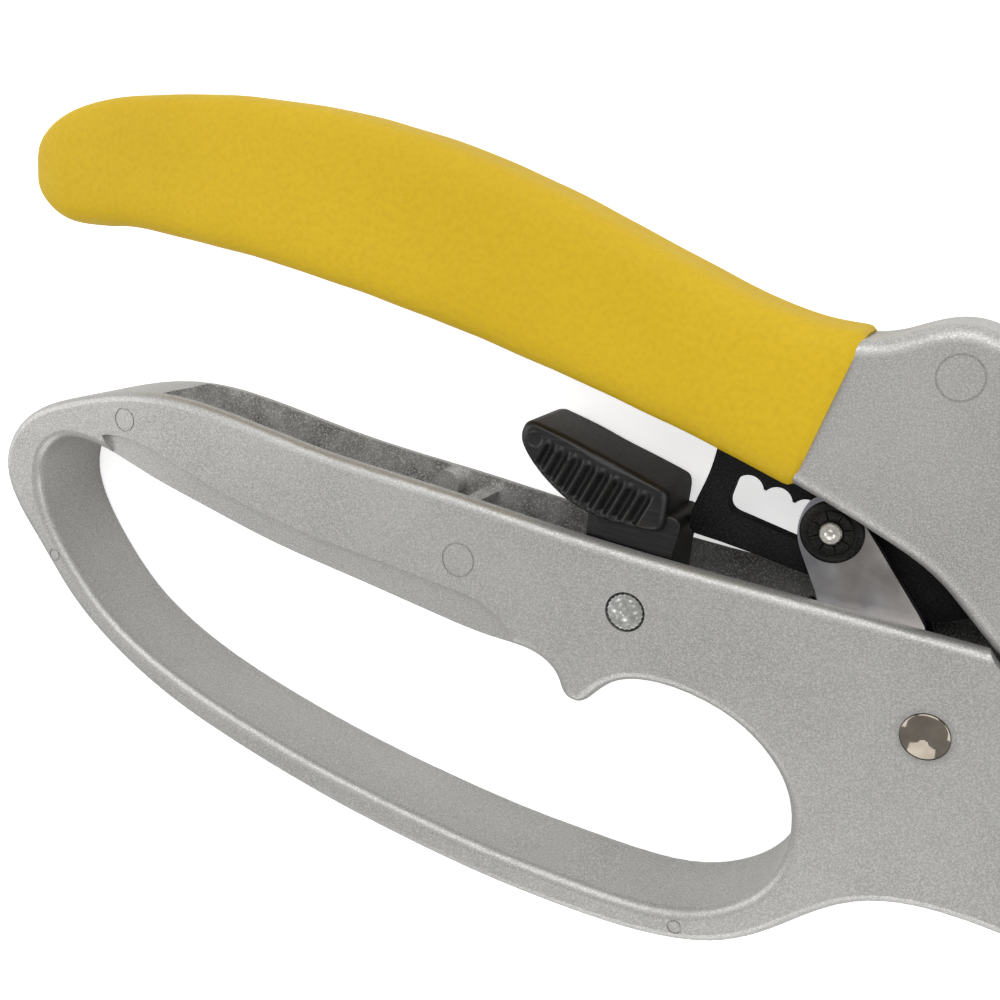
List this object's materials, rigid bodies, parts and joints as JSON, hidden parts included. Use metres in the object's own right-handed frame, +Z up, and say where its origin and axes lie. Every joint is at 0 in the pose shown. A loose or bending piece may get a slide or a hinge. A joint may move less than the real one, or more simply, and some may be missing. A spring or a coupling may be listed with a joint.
{
  "type": "pruning shears",
  "caption": "Ratchet anvil pruner with a knuckle guard on the lower handle, a dipped grip on the upper handle and a thumb catch, lying on its side",
  "frame": {"origin": "under the middle of the bounding box, on the plane that the tool lies on", "axes": "X along the lower handle towards the jaws, Y from the lower handle to the upper handle, Z up through the thickness"},
  "size_m": [0.2208, 0.0944, 0.0171],
  "materials": {
    "silver_casting": "fine-grained silver paint over die-cast aluminium",
    "yellow_grip": "matt dipped PVC with a fine leather-like grain",
    "coated_blade": "matt black non-stick coating, ground edge",
    "black_steel": "blackened punched steel",
    "bright_alloy": "bright milled aluminium",
    "bright_steel": "bright turned steel",
    "zinc_steel": "zinc-plated steel",
    "nickel_rivet": "polished nickel plate",
    "black_cap": "black phosphated spring steel cap",
    "black_plastic": "moulded black nylon, half gloss",
    "knurled_steel": "knurled and staked steel",
    "spring_wire": "spring wire"
  },
  "bodies": {
    "lower_handle": {"lower_handle": "silver_casting", "anvil": "bright_alloy", "anvil_pins": "bright_steel", "pivot_bolt": "zinc_steel", "pivot_washer": "zinc_steel", "pivot_nut": "zinc_steel", "blade_washers": "bright_steel", "link_rivet": "nickel_rivet", "catch_pin": "knurled_steel", "link_spring": "spring_wire"},
    "blade": {"blade": "coated_blade"},
    "upper_handle": {"upper_handle": "silver_casting", "handle_grip": "yellow_grip", "ratchet_plate": "black_steel", "plate_rivets": "bright_steel", "handle_pin": "bright_steel"},
    "link": {"link_near": "zinc_steel", "link_far": "zinc_steel", "link_bush": "bright_steel", "ratchet_pin": "bright_steel", "pin_cap_near": "black_cap", "pin_cap_far": "black_cap"},
    "catch": {"lock_catch": "black_plastic"}
  },
  "joints": [
    {"name": "handle_squeeze", "type": "hinge", "parent": "blade", "child": "upper_handle", "pos_m": [0.03257, 0.0055, 0.0068], "axis": [0, 0, 1], "range_deg": [0, 36.5]},
    {"name": "blade_close", "type": "hinge", "parent": "lower_handle", "child": "blade", "pos_m": [0.05577, -0.0063, 0.0068], "axis": [0, 0, -1], "range_deg": [0, 25.05]},
    {"name": "link_swing", "type": "hinge", "parent": "lower_handle", "child": "link", "pos_m": [0.02177, -0.0103, 0.0068], "axis": [0, 0, -1], "range_deg": [0, 19.2], "deforming": ["link_spring"]},
    {"name": "catch_tip", "type": "hinge", "parent": "lower_handle", "child": "catch", "pos_m": [-0.01343, -0.0055, 0.0068], "axis": [0, 0, 1], "range_deg": [0, 15]}
  ],
  "couplings": [
    {"joint": "blade_close", "follows": "handle_squeeze", "ratio": 0.6854},
    {"joint": "link_swing", "follows": "handle_squeeze", "ratio": 0.5254}
  ]
}
